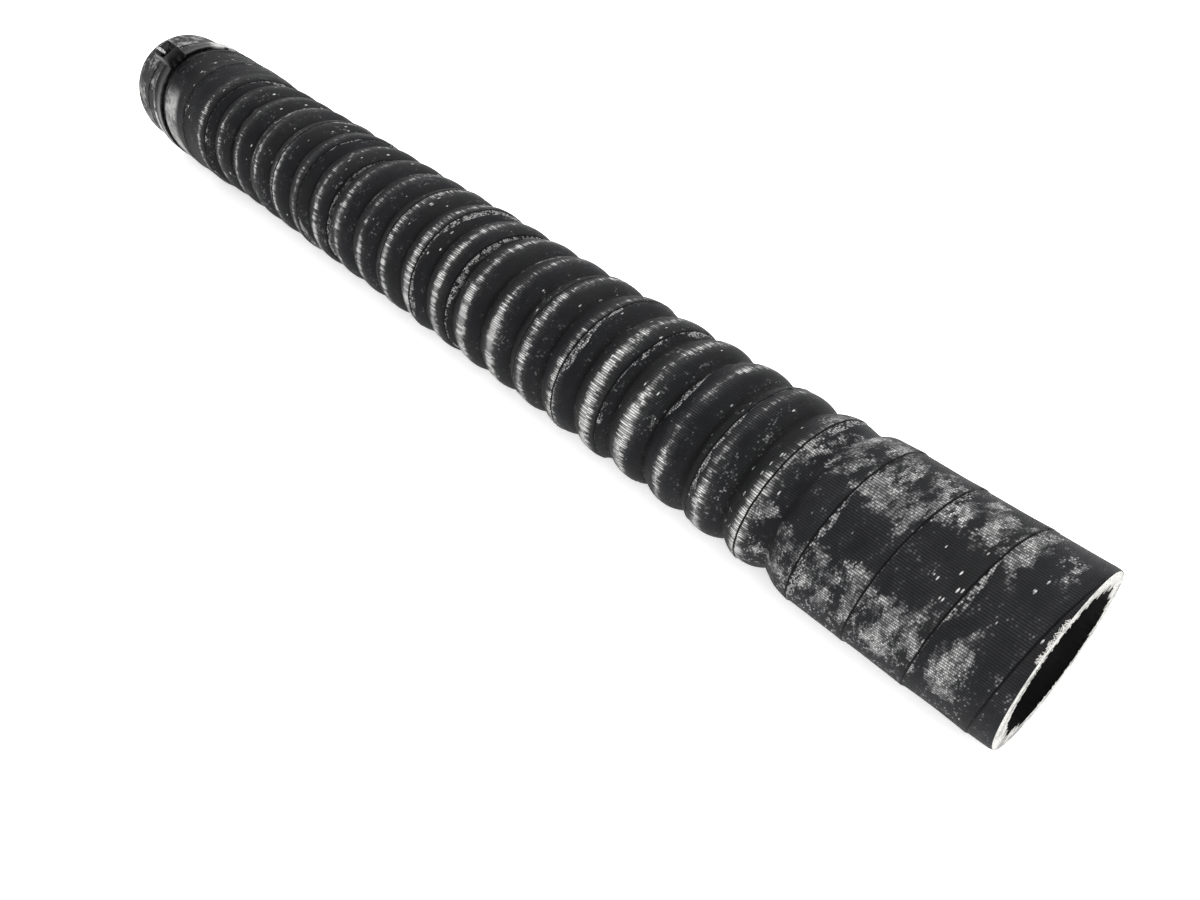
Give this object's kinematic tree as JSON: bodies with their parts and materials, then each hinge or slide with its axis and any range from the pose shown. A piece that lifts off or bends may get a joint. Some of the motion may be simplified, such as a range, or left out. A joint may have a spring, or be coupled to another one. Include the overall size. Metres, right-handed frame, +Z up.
{
  "type": "flexible hose",
  "caption": "Corrugated black rubber coolant hose with plain cuffs at both ends and a nylon cable tie round one cuff.",
  "frame": {"origin": "on the floor under the middle of the hose, which lies on its side", "axes": "+X along the hose from the near end to the end with the cable tie, +Z up"},
  "size_m": [0.61, 0.073, 0.0793],
  "materials": {
    "rubber": "satin, cloth-marked, with pale bloom on the crests",
    "nylon": "satin moulded"
  },
  "bodies": {
    "root": {"hose": "rubber", "cable_tie": "nylon"}
  },
  "joints": []
}
